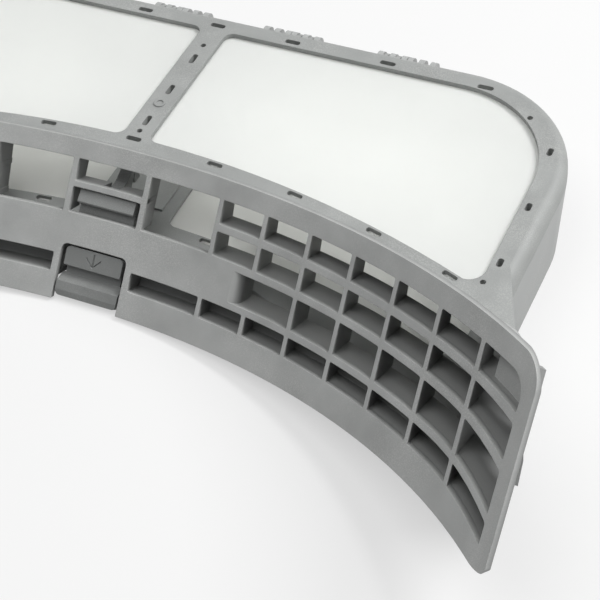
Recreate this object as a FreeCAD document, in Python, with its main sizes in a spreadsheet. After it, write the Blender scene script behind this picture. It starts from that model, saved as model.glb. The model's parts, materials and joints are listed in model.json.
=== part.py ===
import FreeCAD, Part
import math
import os
import Sketcher

os.makedirs("parts", exist_ok=True)

# Tumble dryer lint filter, millimetres. Z = 0 is the plane it rests on, the curved grille faces -Y,
# and X runs along the width. The origin is on the rest rim, below the middle of the hinge side.
# Every piece is drawn about the middle of the leaf first; the grille and what follows its curve are
# drawn about the drum's axis, which leans by drum_tilt. Levels on the grille count down from the plane
# of the leaf's top, along the drum's axis, and depths count back from the face.
DIMS = {
    # pocket: upper frame (the leaf) over lower frame (the tray)
    "pocket_height": 44.5,
    "leaf_depth": 7.0,
    "leaf_sheet": 4.4,
    "seam_gap": 0.4,
    "wall": 2.4,
    "side_half": 173.4,
    "far_edge": 45.6,
    "corner_radius": 56.0,
    "edge_round": 4.6,
    "flare_start": 66.0,
    "flare_slope": 0.42,
    "front_edge": 46.2,
    "front_radius": 428.0,
    "leaf_front": 90.0,
    "wall_draft": 5.2,
    "floor_top": 14.8,
    "floor_sheet": 2.6,
    "tray_front": 135.0,
    # windows and mesh
    "rib_half": 5.9,
    "window_far": 35.3,
    "window_side": 161.9,
    "window_corner": 46.0,
    "window_front": 39.2,
    "window_radius": 428.0,
    "nook_radius": 7.0,
    "rib_corner": 4.6,
    "floor_rib_half": 18.3,
    "floor_window_far": 31.0,
    "floor_window_side": 157.0,
    "floor_window_front": 54.6,
    "floor_land_half": 13.2,
    "floor_land_rise": 1.0,
    "mesh_sheet": 0.8,
    "mesh_depth": 2.0,
    "mesh_lap": 1.6,
    "mesh_play": 0.1,
    # slots and holes of the frames
    "slot_length": 7.0,
    "slot_width": 2.4,
    "side_slot_length": 4.4,
    "rib_slot_length": 6.2,
    "far_slot_y": 38.2,
    "far_slot_1": 36.2,
    "far_slot_2": 80.6,
    "far_slot_3": 125.0,
    "far_slot_3_drop": 1.5,
    "front_slot_inset": 4.8,
    "front_slot_middle": 6.1,
    "front_slot_1": 39.0,
    "front_slot_2": 77.0,
    "front_slot_3": 114.3,
    "front_slot_4": 149.9,
    "side_slot_1": 8.0,
    "side_slot_2": -24.3,
    "side_slot_3": -55.9,
    "side_slot_inset": 10.7,
    "side_slot_lean": 2.4,
    "rib_slot_1": 14.2,
    "rib_slot_2": -7.3,
    "rib_slot_3": -28.2,
    "rib_hole_far": 23.8,
    "rib_hole_near": -34.9,
    "boss_y": -16.7,
    "boss_radius": 2.5,
    "boss_rise": 0.5,
    "far_hole_x": 148.5,
    "far_hole_y": 24.7,
    "near_hole_x": 162.6,
    "near_hole_y": -67.4,
    "floor_slot_offset": 10.4,
    "floor_slot_4": 145.0,
    "floor_rib_slot": 31.3,
    # grille, about the axis of the drum
    "drum_tilt": 27.2,
    "face_radius": 271.3,
    "face_lean": 0.2947,
    "face_front": 57.0,
    "grille_half": 211.8,
    "end_corner": 8.5,
    "end_strip": 7.5,
    "grille_top": 7.5,
    "grille_foot": 57.0,
    "crown_slope": 0.42,
    "face_wall": 2.4,
    "louvre_depth": 15.0,
    "end_depth": 9.0,
    "row1_top": -0.6,
    "row1_foot": 9.9,
    "row2_top": 12.6,
    "row2_foot": 22.0,
    "row3_top": 24.6,
    "row3_foot": 36.4,
    "row4_top": 38.8,
    "row4_foot": 46.4,
    "field_top_round": 7.0,
    "field_foot_round": 3.0,
    "last_rib_cover": 1.3,
    "rib_start": 51.6,
    "rib_wall": 2.3,
    "band_half": 69.5,
    "band_round": 4.6,
    "guide_inner": 15.8,
    "guide_depth": 9.5,
    "shelf_top": 9.6,
    "shelf_foot": 11.8,
    "shelf_depth": 3.5,
    "notch_half": 15.2,
    "notch_top": 34.3,
    "notch_round": 2.4,
    "corner_panel": 15.0,
    "corner_panel_depth": 5.0,
    # throat of the lower frame, behind the grille
    "roof_slope": 0.65,
    "roof_run": 60.0,
    "roof_wall": 2.9,
    # latch slider, along the lean of the face
    "slider_half": 13.2,
    "slider_play": 0.4,
    "plate_top": 36.6,
    "plate_foot": 44.6,
    "plate_front": 0.5,
    "plate_back": 3.6,
    "spine_front": 3.4,
    "spine_back": 5.8,
    "block_top": 12.8,
    "block_break": 14.9,
    "block_foot": 18.5,
    "tab_half": 14.3,
    "tab_top": 51.4,
    "tab_foot": 57.6,
    "tab_round": 2.0,
    "hook_half": 2.6,
    "hook_depth": 14.8,
    "hook_nose": 2.2,
    "hook_top": 1.1,
    "arrow_half": 3.4,
    "arrow_line": 0.36,
    "arrow_depth": 0.45,
    # catch of the leaf
    "catch_half": 2.0,
    "catch_nose": 2.0,
    "catch_drop": 12.9,
    "catch_foot": 17.2,
    # hinge: lugs and pins of the tray, barrels of the leaf
    "hinge_y": 54.0,
    "hinge_drop": 13.5,
    "knob_radius": 4.2,
    "barrel_radius": 3.7,
    "bore_radius": 1.75,
    "pin_radius": 1.55,
    "knob_wall": 2.6,
    "lug_pitch": 5.5,
    "barrel_play": 0.3,
    "hinge_inner": 28.7,
    "hinge_outer": 70.3,
    "knob_step_1": 2.9,
    "knob_step_2": 8.1,
    "knob_step_3": 13.4,
}
RIB_COLUMNS = 7
FIRST_OPEN_COLUMN = 2

doc = FreeCAD.newDocument("lint_filter")
sheet = doc.addObject("Spreadsheet::Sheet", "Dims")
for row_number, (alias, value) in enumerate(DIMS.items(), start=1):
    sheet.set("A%d" % row_number, alias)
    sheet.set("B%d" % row_number, "%g" % value)
    sheet.setAlias("B%d" % row_number, alias)
doc.recompute()


class Size:
    """A number together with the spreadsheet expression that gives it."""

    def __init__(self, value, text):
        self.value = value
        self.text = text

    def join(self, other, sign, value):
        return Size(value, "(%s %s %s)" % (self.text, sign, text_of(other)))

    def __add__(self, other):
        return self.join(other, "+", self.value + number(other))

    def __sub__(self, other):
        return self.join(other, "-", self.value - number(other))

    def __mul__(self, other):
        return self.join(other, "*", self.value * number(other))

    def __truediv__(self, other):
        return self.join(other, "/", self.value / number(other))

    def __neg__(self):
        return Size(-self.value, "(-1 * %s)" % self.text)


def number(item):
    return item.value if isinstance(item, Size) else float(item)


def text_of(item):
    return item.text if isinstance(item, Size) else "%g" % item


def size(alias):
    return Size(DIMS[alias], "Dims." + alias)


def sine(angle):
    return Size(math.sin(math.radians(angle.value)), "sin(%s * 1 deg)" % angle.text)


def cosine(angle):
    return Size(math.cos(math.radians(angle.value)), "cos(%s * 1 deg)" % angle.text)


def tangent(angle):
    return Size(math.tan(math.radians(angle.value)), "tan(%s * 1 deg)" % angle.text)


def root(item):
    return Size(math.sqrt(item.value), "sqrt(%s)" % item.text)


def bind(obj, prop, item):
    if isinstance(item, Size):
        obj.setExpression(prop, item.text)
    else:
        setattr(obj, prop, item)


def place(obj, x=None, y=None, z=None, turn=None, axis=(1, 0, 0)):
    """Moves an object, turned about an axis, X as a rule, where turn is given."""
    obj.Placement = FreeCAD.Placement(
        FreeCAD.Vector(number(x or 0), number(y or 0), number(z or 0)),
        FreeCAD.Rotation(FreeCAD.Vector(*axis), number(turn or 0)),
    )
    for letter, item in (("x", x), ("y", y), ("z", z)):
        if isinstance(item, Size):
            obj.setExpression("Placement.Base." + letter, item.text)
    if isinstance(turn, Size):
        obj.setExpression("Placement.Rotation.Angle", "%s * 1 deg" % turn.text)
    return obj


def box(name, low, high):
    """A box between two corners."""
    obj = doc.addObject("Part::Box", name)
    for prop, first, last in zip(("Length", "Width", "Height"), low, high):
        bind(obj, prop, last - first)
    return place(obj, *low)


def rod(name, radius, start, length, y, z):
    """A cylinder along X."""
    obj = doc.addObject("Part::Cylinder", name)
    bind(obj, "Radius", radius)
    bind(obj, "Height", length)
    obj.Placement = FreeCAD.Placement(
        FreeCAD.Vector(number(start), number(y), number(z)),
        FreeCAD.Rotation(FreeCAD.Vector(0, 1, 0), 90),
    )
    for letter, item in (("x", start), ("y", y), ("z", z)):
        obj.setExpression("Placement.Base." + letter, item.text)
    return obj


def post(name, radius, x, y, low, height):
    """A cylinder along Z."""
    obj = doc.addObject("Part::Cylinder", name)
    bind(obj, "Radius", radius)
    bind(obj, "Height", height)
    return place(obj, x, y, low)


def fuse(name, *items):
    obj = doc.addObject("Part::MultiFuse", name)
    obj.Shapes = list(items)
    return obj


def cut(name, base, *tools):
    obj = doc.addObject("Part::Cut", name)
    obj.Base = base
    obj.Tool = tools[0] if len(tools) == 1 else fuse(name + "_tools", *tools)
    return obj


def common(name, first, second):
    obj = doc.addObject("Part::MultiCommon", name)
    obj.Shapes = [first, second]
    return obj


def outline(name, corners, arcs=None, plane="XY", body=None):
    """A closed sketch through corners; arcs gives a signed radius for the side that starts at a corner."""
    arcs = arcs or {}
    if body:
        sketch = body.newObject("Sketcher::SketchObject", name)
        origin_plane = [item for item in body.Origin.OriginFeatures if item.Role == "XY_Plane"][0]
        sketch.AttachmentSupport = [(origin_plane, "")]
        sketch.MapMode = "FlatFace"
    else:
        sketch = doc.addObject("Sketcher::SketchObject", name)
    if plane == "YZ":
        sketch.Placement.Rotation = FreeCAD.Rotation(FreeCAD.Vector(1, 1, 1), 120)
    if plane == "XZ":
        sketch.Placement.Rotation = FreeCAD.Rotation(FreeCAD.Vector(1, 0, 0), 90)
    points = [FreeCAD.Vector(number(a), number(b), 0) for a, b in corners]
    count = len(points)
    ends = []
    for index in range(count):
        first = points[index]
        last = points[(index + 1) % count]
        if index not in arcs:
            sketch.addGeometry(Part.LineSegment(first, last), False)
            ends.append((1, 2))
            continue
        radius = number(arcs[index])
        along = last - first
        half = along.Length / 2
        across = FreeCAD.Vector(-along.y, along.x, 0).normalize()
        rise = math.sqrt(max(radius * radius - half * half, 0.0))
        centre = (first + last) * 0.5 + across * (rise if radius > 0 else -rise)
        begin = math.atan2(first.y - centre.y, first.x - centre.x)
        end = math.atan2(last.y - centre.y, last.x - centre.x)
        circle = Part.Circle(centre, FreeCAD.Vector(0, 0, 1), abs(radius))
        if radius > 0:
            sketch.addGeometry(Part.ArcOfCircle(circle, begin, end), False)
            ends.append((1, 2))
        else:
            sketch.addGeometry(Part.ArcOfCircle(circle, end, begin), False)
            ends.append((2, 1))
    for index in range(count):
        after = (index + 1) % count
        sketch.addConstraint(Sketcher.Constraint("Coincident", index, ends[index][1], after, ends[after][0]))
    for index, corner in enumerate(corners):
        for kind, item in zip(("DistanceX", "DistanceY"), corner):
            key = sketch.addConstraint(Sketcher.Constraint(kind, -1, 1, index, ends[index][0], number(item)))
            if isinstance(item, Size):
                sketch.setExpression("Constraints[%d]" % key, item.text)
    for index, radius in arcs.items():
        key = sketch.addConstraint(Sketcher.Constraint("Radius", index, abs(number(radius))))
        if isinstance(radius, Size):
            bare = radius if radius.value > 0 else -radius
            sketch.setExpression("Constraints[%d]" % key, bare.text)
    return sketch


def raised(name, sketch, height, draft=None, lean=None, up=True):
    """Extrudes a flat sketch along Z, narrowed by a draft or leaning back by lean per unit of height."""
    obj = doc.addObject("Part::Extrusion", name)
    obj.Base = sketch
    obj.DirMode = "Custom"
    obj.Dir = FreeCAD.Vector(0, number(lean or 0), 1 if up else -1)
    if lean:
        obj.setExpression("Dir.y", lean.text)
    bind(obj, "LengthFwd", height)
    obj.Solid = True
    if draft is not None:
        bind(obj, "TaperAngle", draft)
    return obj


def swept(name, sketch, half, along=(1, 0, 0)):
    """Extrudes a sketch by half to both sides of its plane."""
    obj = doc.addObject("Part::Extrusion", name)
    obj.Base = sketch
    obj.DirMode = "Custom"
    obj.Dir = FreeCAD.Vector(*along)
    obj.Symmetric = True
    bind(obj, "LengthFwd", half * 2)
    obj.Solid = True
    return obj


def profile(name, corners, half):
    """A bar along X with the given YZ profile, centred on the middle plane."""
    return swept(name, outline(name + "_line", corners, plane="YZ"), half)


def turned(name, corners):
    """Turns a YZ profile about Z, to both sides of the middle plane."""
    obj = doc.addObject("Part::Revolution", name)
    obj.Source = outline(name + "_line", corners, plane="YZ")
    obj.Axis = FreeCAD.Vector(0, 0, 1)
    obj.Base = FreeCAD.Vector(0, 0, 0)
    obj.Angle = 126
    obj.Symmetric = True
    obj.Solid = True
    return obj


# sizes that several pieces share
none = Size(0.0, "0")
top = size("pocket_height")
wall = size("wall")
gap = size("seam_gap")
side = size("side_half")
far_edge = size("far_edge")
corner_radius = size("corner_radius")
leaf_depth = size("leaf_depth")
leaf_low = top - leaf_depth
wall_top = leaf_low - gap
front_y = -size("front_edge")
front_radius = size("front_radius")
over = wall
tilt = size("drum_tilt")
face_radius = size("face_radius")
drum_y = -size("face_front") - face_radius * cosine(tilt)
drum_z = top + face_radius * sine(tilt)
draft_slope = tangent(size("wall_draft"))
rim_y = far_edge - wall / 2 - wall_top * draft_slope


def drum(obj):
    """Puts an object made about the drum's axis where the drum is."""
    return place(obj, None, drum_y, drum_z, -tilt)


def face_at(level):
    """Radius of the grille's face at a level."""
    return face_radius + size("face_lean") * level


def flare_x(deep):
    """Half width of the pocket where its flank flares towards the grille."""
    return side + (deep - size("flare_start")) * size("flare_slope")


def front_bow(x):
    """How far the front edge of the leaf lies in front of the middle line at x."""
    return size("front_edge") + front_radius - root(front_radius * front_radius - x * x)


def pocket_outline(name, inset, deep, body=None):
    """Outline of the pocket in plan, drawn in by inset and open to the front as far as deep."""
    far = far_edge - inset
    edge = side - inset
    corner = corner_radius - inset
    tip = flare_x(deep) - inset
    flare_y = -size("flare_start")
    return outline(name, [
        (corner - edge, far), (-edge, far - corner), (-edge, flare_y), (-tip, -deep),
        (tip, -deep), (edge, flare_y), (edge, far - corner), (edge - corner, far),
    ], {0: corner, 6: corner}, body=body)


def front_round(name, inset, low, height):
    """The round body whose side is the hollow front edge of the leaf."""
    return post(name, front_radius - inset, none, front_y - front_radius, low, height)


def window_outline(name, hand, parts, lap, body=None):
    """Window outline on one hand, grown by lap; its front side follows the bow of the leaf."""
    rib, far, edge, front = [size(part) for part in parts]
    corner = size("window_corner") + lap
    nook = size("nook_radius")
    small = size("rib_corner")
    inner = rib - lap
    outer = edge + lap
    back = far + lap
    arc = size("window_radius") - lap
    apex = front + lap

    def bow(x):
        return arc - root(arc * arc - x * x) + apex

    near = inner + small
    away = outer - nook
    points = [
        (inner, back - small), (inner, -(bow(near) - small)), (near, -bow(near)), (away, -bow(away)),
        (outer, -(bow(away) - nook)), (outer, back - corner), (outer - corner, back), (near, back),
    ]
    bends = {1: small, 2: -arc, 3: nook, 5: corner, 7: small}
    if hand > 0:
        return outline(name, points, bends, body=body)
    mirrored = [(-a, b) for a, b in points]
    mirrored = [mirrored[0]] + mirrored[:0:-1]
    flipped = {0: small, 2: corner, 4: nook, 5: -arc, 6: small}
    return outline(name, mirrored, flipped, body=body)


UPPER_WINDOW = ("rib_half", "window_far", "window_side", "window_front")
FLOOR_WINDOW = ("floor_rib_half", "floor_window_far", "floor_window_side", "floor_window_front")
HANDS = ((-1, "left"), (1, "right"))


def window_block(name, hand, parts, lap, low, height):
    return place(raised(name, window_outline(name + "_line", hand, parts, lap), height), None, None, low)


def slot(name, x, y, length, low, height, turn=None):
    """A slot with rounded ends, its length along X unless it is turned."""
    long = length / 2
    wide = size("slot_width") / 2
    bend = wide * 0.9
    sketch = outline(name + "_line", [
        (bend - long, -wide), (long - bend, -wide), (long, bend - wide), (long, wide - bend),
        (long - bend, wide), (bend - long, wide), (-long, wide - bend), (-long, bend - wide),
    ], {1: bend, 3: bend, 5: bend, 7: bend})
    return place(raised(name, sketch, height), x, y, low, turn, (0, 0, 1))


def bow_turn(x):
    """Direction of the front edge of the leaf at x, in degrees."""
    if number(x) == 0:
        return None
    ratio = x / front_radius
    return Size(-math.degrees(math.asin(ratio.value)), "(-1 * asin(%s) / 1 deg)" % ratio.text)


def mirrored_x(x):
    """The position itself and its mirror image, or only itself on the middle plane."""
    return [x] if number(x) == 0 else [x, -x]


# upper frame: a flat leaf with a rim below, its front edge hollowed to the curve of the grille
def leaf_solid():
    """The leaf before its windows, with a soft upper edge along the far side and both flanks."""
    body = doc.addObject("PartDesign::Body", "leaf_body")
    pad = body.newObject("PartDesign::Pad", "leaf_pad")
    pad.Profile = pocket_outline("leaf_line", none, size("leaf_front"), body)
    bind(pad, "Length", leaf_depth)
    doc.recompute()
    soft_edges = []
    for index, edge in enumerate(pad.Shape.Edges, start=1):
        bounds = edge.BoundBox
        above = bounds.ZMin > DIMS["leaf_depth"] * 0.9
        behind = bounds.YMin > -DIMS["flare_start"] - DIMS["wall"]
        if above and behind:
            soft_edges.append("Edge%d" % index)
    rounding = body.newObject("PartDesign::Fillet", "leaf_edge_round")
    rounding.Base = (pad, soft_edges)
    bind(rounding, "Radius", size("edge_round"))
    body.Tip = rounding
    place(body, None, None, leaf_low)
    return cut("leaf_block", body, front_round("leaf_front_round", none, leaf_low - over, leaf_depth + over * 2))


def leaf_hollow():
    """The room under the leaf's sheet, inside its rim."""
    under = leaf_depth - size("leaf_sheet")
    room = place(raised("leaf_room", pocket_outline("leaf_room_line", wall, size("leaf_front")), under + over),
                 None, None, leaf_low - over)
    return cut("leaf_hollow", room, front_round("leaf_room_front", -wall, leaf_low - over * 2, under + over * 4))


def leaf_slots():
    """The slots and holes round the windows, through the leaf."""
    low = leaf_low - over
    through = leaf_depth + over * 2
    length = size("slot_length")
    made = []
    for alias in (None, "far_slot_1", "far_slot_2", "far_slot_3"):
        drop = size("far_slot_3_drop") if alias == "far_slot_3" else none
        for x in mirrored_x(size(alias) if alias else none):
            made.append(slot("far_slot", x, size("far_slot_y") - drop, length, low, through))
    made.append(slot("front_slot", none, front_y + size("front_slot_middle"), length, low, through))
    for index in (1, 2, 3, 4):
        spot = size("front_slot_%d" % index)
        for x in mirrored_x(spot):
            y = size("front_slot_inset") - front_bow(spot)
            made.append(slot("front_slot", x, y, length, low, through, bow_turn(x)))
    for index in (1, 2, 3):
        inset = size("side_slot_inset") - (size("side_slot_lean") if index > 1 else none)
        for x in mirrored_x(side - inset):
            y = size("side_slot_%d" % index)
            made.append(slot("side_slot", x, y, size("side_slot_length"), low, through, 90))
        y = size("rib_slot_%d" % index)
        made.append(slot("rib_slot", none, y, size("rib_slot_length"), low, through, 90))
    holes = [(none, size("rib_hole_far")), (none, size("rib_hole_near"))]
    holes += [(x, size("far_hole_y")) for x in mirrored_x(size("far_hole_x"))]
    holes += [(x, size("near_hole_y")) for x in mirrored_x(size("near_hole_x"))]
    for x, y in holes:
        made.append(post("frame_hole", size("slot_width") / 2, x, y, low, through))
    return made


def leaf_windows():
    """The two windows and the rebates below them that seat the mesh."""
    low = leaf_low - over
    made = []
    for hand, word in HANDS:
        made.append(window_block("window_" + word, hand, UPPER_WINDOW, none, low, leaf_depth + over * 2))
        made.append(window_block("mesh_seat_" + word, hand, UPPER_WINDOW, size("mesh_lap"), low,
                                 leaf_depth - size("mesh_depth") + over))
    return made


def catch():
    """The nose below the front rim that the hook of the latch holds down."""
    nose = size("catch_nose")
    drop = size("catch_drop")
    foot = size("catch_foot")
    return profile("catch", [
        (front_y + wall, leaf_low + wall), (front_y, leaf_low + wall), (front_y, top - drop),
        (front_y - nose, top - drop - nose), (front_y - nose, top - foot), (front_y + wall, top - foot),
    ], size("catch_half"))


def hinge_groups():
    """Inner end of every hinge: the x of its first lug and the hand that it is on."""
    return [(size(alias), hand, alias) for alias in ("hinge_inner", "hinge_outer") for hand in (-1, 1)]


def along_hand(hand, centre, width):
    """Start along X of something of a width centred on the given distance from the middle."""
    return (centre if hand > 0 else -centre) - width / 2


def barrels(hinge_y, hinge_z):
    """The barrels between the lugs, with the arms that carry them, and the bores through them."""
    width = size("lug_pitch") - size("knob_wall") - size("barrel_play") * 2
    radius = size("barrel_radius")
    solids = []
    bores = []
    for first, hand, alias in hinge_groups():
        for step in (0.5, 1.5):
            start = along_hand(hand, first + size("lug_pitch") * step, width)
            solids.append(rod("barrel", radius, start, width, hinge_y, hinge_z))
            arm = profile("barrel_arm", [
                (far_edge + gap, leaf_low), (far_edge - wall / 2, leaf_low),
                (far_edge - wall / 2, leaf_low + wall * 1.2),
                (hinge_y + radius * 0.6, hinge_z + radius * 0.8), (hinge_y, hinge_z),
                (hinge_y - radius * 0.8, hinge_z + radius * 0.5),
            ], width / 2)
            solids.append(place(arm, start + width / 2))
            bores.append(rod("bore", size("bore_radius"), start - over, width + over * 2, hinge_y, hinge_z))
    return solids, bores


def make_upper_frame(hinge_y, hinge_z):
    hinge_solids, bores = barrels(hinge_y, hinge_z)
    boss = post("boss", size("boss_radius"), none, size("boss_y"), top - wall, wall + size("boss_rise"))
    dimple = post("boss_dimple", size("boss_radius") * 0.6, none, size("boss_y"), top, wall)
    shell = cut("leaf_shell", leaf_solid(), leaf_hollow())
    return cut("upper_frame", fuse("upper_frame_body", shell, boss, catch(), *hinge_solids),
               dimple, *(leaf_windows() + leaf_slots() + bores))


# mesh panels: one thin sheet behind every window
def make_mesh(name, hand, parts, low):
    body = doc.addObject("PartDesign::Body", name)
    pad = body.newObject("PartDesign::Pad", name + "_pad")
    pad.Profile = window_outline(name + "_line", hand, parts, size("mesh_lap") - size("mesh_play"), body)
    bind(pad, "Length", size("mesh_sheet"))
    body.Tip = pad
    return place(body, None, -rim_y, low)


# grille: one moulding with four rows of louvres between ribs, turned about the drum's axis
depth = size("louvre_depth")
foot = -size("grille_foot")
crown = size("grille_top")
half = size("grille_half")
strip = half - size("end_strip")
face_wall = size("face_wall")
guide_inner = size("guide_inner")
rib_wall = size("rib_wall")
guide_outer = guide_inner + rib_wall
back = depth + rib_wall * 2
front = -rib_wall * 2
far_level = foot - depth
near_level = crown + depth


def ring(name, low, high, near, far):
    """A turned ring between two levels, its sides leaning with the face, between two depths behind it."""
    return turned(name, [
        (face_at(low) + near, low), (face_at(high) + near, high),
        (face_at(high) + far, high), (face_at(low) + far, low),
    ])


def slab(name, first, last):
    """Everything of the grille between two upright planes across X."""
    return box(name, (first, face_radius / 3, far_level), (last, face_radius * 1.3, near_level))


def both(name, first, last):
    return [slab(name + "_right", first, last), slab(name + "_left", -last, -first)]


def ribs(name, columns):
    """Rib slabs on both hands at the given columns."""
    pitch = (strip + size("last_rib_cover") - size("rib_start")) / RIB_COLUMNS
    made = []
    for column in columns:
        start = size("rib_start") + pitch * column
        made += both("%s_%d" % (name, column), start, start + rib_wall)
    return made


def level(alias):
    return -size(alias)


def field_prism(name, edge, low, high, low_round, high_round):
    """A front view with rounded corners, run through the grille along Y."""
    sketch = outline(name + "_line", [
        (-(edge - low_round), low), (edge - low_round, low),
        (edge, low + low_round), (edge, high - high_round),
        (edge - high_round, high), (-(edge - high_round), high),
        (-edge, high - high_round), (-edge, low + low_round),
    ], {1: low_round, 3: high_round, 5: high_round, 7: low_round}, plane="XZ")
    return swept(name, sketch, face_radius * 1.5, (0, 1, 0))


def row(name, keep):
    """The void of one row: its ring, without what stays in it."""
    void_ring = ring(name + "_ring", level(name + "_foot"), level(name + "_top"), front, back)
    return cut(name + "_void", void_ring, *keep)


def band_core():
    """The middle of row 3, closed by the band, whose ends turn inwards in a soft bend."""
    bend = size("band_round")
    edge = size("band_half")
    start = level("row3_foot") - rib_wall
    reach = face_at(start)
    face_y = root(reach * reach - (edge - bend) * (edge - bend))
    behind = face_radius * 1.3
    sketch = outline("band_core_line", [
        (-(edge - bend), face_y - back), (edge - bend, face_y - back),
        (edge - bend, face_y), (edge, face_y + bend),
        (edge, behind), (-edge, behind), (-edge, face_y + bend), (-(edge - bend), face_y),
    ], {2: bend, 6: bend})
    tall = size("row3_foot") - size("row3_top") + rib_wall * 2
    core = raised("band_core", sketch, tall, lean=size("face_lean"))
    return place(core, None, None, start)


def row_voids():
    """What the rows take out of the block, inside a field with rounded corners."""
    middle = size("rib_start")
    outer = range(RIB_COLUMNS)
    shelf = shelf_solid("shelf_keep")
    centre = cut("middle_void", ring("middle_ring", level("row2_foot"), level("row1_top"), front, back), shelf,
                 *(both("middle_outside", middle, half + back) + both("middle_guide", guide_inner, guide_outer)))
    rows = [
        centre,
        row("row1", ribs("row1_rib", outer) + [slab("row1_middle", -middle, middle)]),
        row("row2", ribs("row2_rib", outer) + [slab("row2_middle", -middle, middle)]),
        row("row3", ribs("row3_rib", range(FIRST_OPEN_COLUMN, RIB_COLUMNS)) + [band_core()]),
        row("row4", ribs("row4_rib", outer) + both("row4_guide", guide_inner, guide_outer)),
    ]
    field = field_prism("row_field", strip, level("row4_foot"), level("row1_top"),
                        size("field_foot_round"), size("field_top_round"))
    return common("rows", fuse("row_voids", *rows), field)


def shelf_solid(name):
    """The small shelf between the guides, above the latch."""
    reach = guide_inner + rib_wall / 2
    return common(name, ring(name + "_ring", level("shelf_foot"), level("shelf_top"), none, size("shelf_depth")),
                  slab(name + "_span", -reach, reach))


def grille_backs():
    """The hollows behind the crown, the foot, the band, the end strips and the lane of the latch."""
    made = [
        ring("crown_back", face_wall * 1.25, near_level, face_wall, back),
        ring("foot_back", far_level, level("row4_foot") - rib_wall, face_wall, back),
    ]
    band_ring = ring("band_back_ring", level("row3_foot"), level("row2_foot") - face_wall, face_wall, back)
    band_reach = size("band_half") - face_wall
    band_span = common("band_back_span", band_ring, slab("band_back_limit", -band_reach, band_reach))
    made.append(cut("band_back", band_span, *ribs("band_back_rib", range(0, 1))))
    lane_ring = ring("latch_lane_ring", level("row4_top") - rib_wall, level("row1_top"), face_wall, back)
    made.append(common("latch_lane", lane_ring, slab("latch_lane_limit", -guide_inner, guide_inner)))
    guide_ring = ring("guide_back_ring", level("row2_foot"), level("row1_top"), size("guide_depth"), back)
    reach = guide_outer + rib_wall
    made.append(common("guide_back", guide_ring, slab("guide_back_limit", -reach, reach)))
    for hand, word in HANDS:
        first = strip + face_wall if hand > 0 else -(half + back)
        last = half + back if hand > 0 else -(strip + face_wall)
        end_ring = ring("end_back_ring_" + word, far_level, near_level, face_wall, back)
        made.append(common("end_back_" + word, end_ring, slab("end_back_limit_" + word, first, last)))
    return made


def latch_notch():
    """The opening for the thumb latch in the band and the foot."""
    notch = size("notch_half")
    bend = size("notch_round")
    return field_prism("latch_notch", notch, far_level, level("notch_top"), bend, bend)


def corner_panels():
    """The plates that close the upper outer corners of the first row."""
    near = size("corner_panel_depth")
    made = []
    for hand, word in HANDS:
        reach = size("corner_panel")
        first = strip - reach if hand > 0 else -(strip + rib_wall / 2)
        last = strip + rib_wall / 2 if hand > 0 else -(strip - reach)
        foot = level("row1_foot") - rib_wall / 4
        panel = ring("corner_panel_ring_" + word, foot, rib_wall / 2, near, near + rib_wall)
        span = common("corner_panel_span_" + word, panel, slab("corner_panel_limit_" + word, first, last))
        made.append(cut("corner_panel_" + word, span, roof_clearance()))
    return made


def back_limit():
    """The body that makes the louvres shallower towards the ends, so that their depth there is end_depth."""
    deep_radius = face_at(foot) + depth
    end_reach = root(face_at(foot) * face_at(foot) - half * half) + size("end_depth")
    thinning = (deep_radius * deep_radius - half * half - end_reach * end_reach) / ((deep_radius - end_reach) * 2)
    inside = face_at(foot) / 3
    limit = turned("back_limit", [
        (inside, far_level), (face_at(far_level) + depth - thinning, far_level),
        (face_at(near_level) + depth - thinning, near_level), (inside, near_level),
    ])
    limit.Angle = 180
    return place(limit, None, thinning)


def make_grille():
    block = ring("grille_block", foot, crown, none, depth)
    face = field_prism("grille_outline", half, foot, crown, size("end_corner"), size("end_corner"))
    limit = back_limit()
    body = common("grille_body", common("grille_front", block, face), limit)
    slope = size("crown_slope")
    sloping_crown = turned("crown_chamfer", [
        (face_at(crown) - rib_wall, crown + rib_wall * slope), (face_at(crown) + back, crown - back * slope),
        (face_at(crown) + back, near_level), (face_at(crown) - rib_wall, near_level),
    ])
    wall_ring = ring("row4_wall_ring", level("row4_foot") - rib_wall / 2, level("row4_top") + rib_wall / 2,
                     depth - rib_wall * 2, depth - rib_wall)
    row4_wall = cut("row4_wall", common("row4_wall_span", wall_ring, slab("row4_wall_limit", -strip, strip)),
                    slab("row4_wall_lane", -guide_inner, guide_inner))
    opened = cut("grille_opened", body, sloping_crown, roof_clearance(), row_voids(), latch_notch(),
                 *grille_backs())
    grille = fuse("grille", opened, shelf_solid("shelf"), common("row4_back", row4_wall, limit),
                  *corner_panels())
    return place(grille, None, drum_y - rim_y, drum_z, -tilt)


# lower frame: drafted walls, a floor with two windows, and the throat that leads to the grille
roof_near = face_at(crown) + face_wall + gap * 1.5
roof_crown = crown - (face_wall + gap * 2) * size("crown_slope") - gap / 2
roof_run = size("roof_run")
roof_fall = roof_run * size("roof_slope")
roof_wall = size("roof_wall")


def roof_clearance():
    """Keeps the grille clear of the roof of the throat."""
    low = roof_crown - roof_wall - gap * 2
    return turned("roof_clearance", [
        (roof_near - gap, near_level), (roof_near - gap, low),
        (roof_near - gap + roof_run, low - roof_fall), (roof_near - gap + roof_run, near_level),
    ])


def tray_block(name, inset, high, low, deep):
    """The drafted inside or outside of the tray, from a level down to another."""
    block = raised(name, pocket_outline(name + "_line", inset, deep), high - low, -size("wall_draft"), up=False)
    return place(block, None, None, high)


def floor_slots(low, height):
    """The slots of the floor: one in its rib, and a row that follows the bow of the front."""
    made = [slot("floor_rib_slot", none, -size("floor_rib_slot"), size("slot_length"), low, height)]
    for alias in (None, "front_slot_1", "front_slot_2", "front_slot_3", "floor_slot_4"):
        spot = size(alias) if alias else none
        for x in mirrored_x(spot):
            y = -front_bow(spot) - size("floor_slot_offset")
            made.append(slot("floor_slot", x, y, size("slot_length"), low, height, bow_turn(x)))
    return made


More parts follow.
